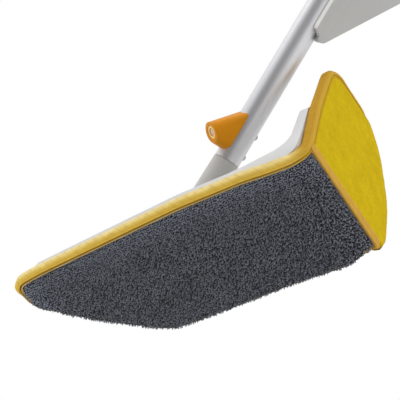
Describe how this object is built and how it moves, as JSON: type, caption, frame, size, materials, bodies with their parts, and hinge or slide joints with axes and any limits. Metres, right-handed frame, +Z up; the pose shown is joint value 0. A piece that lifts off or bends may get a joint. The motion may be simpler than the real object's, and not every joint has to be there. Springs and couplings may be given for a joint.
{
  "type": "spray flat mop",
  "caption": "Flat spray mop: metal pole with trigger grip, lift-off liquid tank, spray nozzle, two-way knuckle joint and a pointed L-shaped plate that holds a looped fabric pad.",
  "frame": {"origin": "middle of the hang hole in the end cap, at the top of the pole", "axes": "+Z up along the pole, +Y towards the tank behind the pole, -Y towards the nozzle and trigger, +X to the side that the heel of the head lies on; the rest pose is the pictured pose"},
  "size_m": [0.2232, 0.2066, 1.383],
  "materials": {
    "tube": "satin, drawn along the tube",
    "grey_plastic": "matt, lightly grained",
    "grip_plastic": "matt moulding",
    "orange_plastic": "semi-gloss moulding",
    "ring_plastic": "semi-gloss moulding, lighter orange",
    "pale_plastic": "semi-gloss moulding",
    "inner_plastic": "natural, unpigmented",
    "steel": "plain",
    "rubber": "matt",
    "tank_plastic": "satin grey",
    "white_plastic": "satin white",
    "hook_tape": "hook tape",
    "pad_core": "felt",
    "pile": "curly loop pile",
    "velour": "short velour",
    "binding": "woven tape"
  },
  "bodies": {
    "pole": {"pole_tube": "tube", "joint_socket": "grey_plastic", "tilt_pin": "steel", "spray_housing": "orange_plastic", "spray_tip": "pale_plastic", "tip_ring": "ring_plastic", "tip_seal": "rubber", "housing_screws": "steel", "outlet_pipe": "inner_plastic", "valve_body": "inner_plastic", "valve_spring": "steel", "feed_hose": "inner_plastic", "tank_dock": "orange_plastic", "dock_screws": "steel", "grip_left": "grip_plastic", "grip_right": "grip_plastic", "grip_screws": "steel", "grip_sleeve": "rubber", "trigger_pin": "steel", "end_cap": "orange_plastic"},
    "rod": {"valve_plunger": "inner_plastic", "pull_rod": "steel", "rod_collar": "inner_plastic"},
    "lever": {"trigger": "orange_plastic"},
    "tank": {"tank_shell": "tank_plastic", "tank_outlet": "inner_plastic", "outlet_seal": "rubber"},
    "gasket": {"cap_gasket": "rubber"},
    "cap": {"tank_cap": "orange_plastic"},
    "cross": {"cross_block": "grey_plastic"},
    "head": {"swing_pin": "steel", "joint_bracket": "grey_plastic", "bracket_screws": "steel", "base_plate": "white_plastic", "hook_strips": "hook_tape", "pad_core": "pad_core", "floor_pile": "pile", "wall_face": "velour", "edge_binding": "binding", "seam_binding": "binding"}
  },
  "joints": [
    {"name": "head_tilt", "type": "hinge", "parent": "pole", "child": "cross", "pos_m": [0, 0, -1.24], "axis": [1, 0, 0], "range_deg": [-54, 86]},
    {"name": "head_swing", "type": "hinge", "parent": "cross", "child": "head", "pos_m": [0, -0.00551, -1.25923], "axis": [0, 0.9613, -0.2756], "range_deg": [0, 110]},
    {"name": "trigger_squeeze", "type": "hinge", "parent": "pole", "child": "lever", "pos_m": [0, -0.018, -0.062], "axis": [1, 0, 0], "range_deg": [0, 10], "stiffness_Nm_per_rad": 0.6, "springref_deg": -20.05},
    {"name": "rod_lift", "type": "slide", "parent": "pole", "child": "rod", "axis": [0, 0, 1], "range_m": [0, 0.0032], "deforming": ["valve_spring"]},
    {"name": "tank_lift", "type": "slide", "parent": "pole", "child": "tank", "axis": [0, 0, 1], "range_m": [0, 0.03]},
    {"name": "cap_rise", "type": "slide", "parent": "tank", "child": "gasket", "axis": [0, 0, 1], "range_m": [0, 0.0081]},
    {"name": "cap_turn", "type": "hinge", "parent": "gasket", "child": "cap", "pos_m": [0, 0.056, -0.759], "axis": [0, 0, 1], "range_deg": [0, 720]}
  ],
  "couplings": [
    {"joint": "rod_lift", "follows": "trigger_squeeze", "m_per_rad": 0.018},
    {"joint": "cap_rise", "follows": "cap_turn", "m_per_rad": 0.00063662}
  ]
}
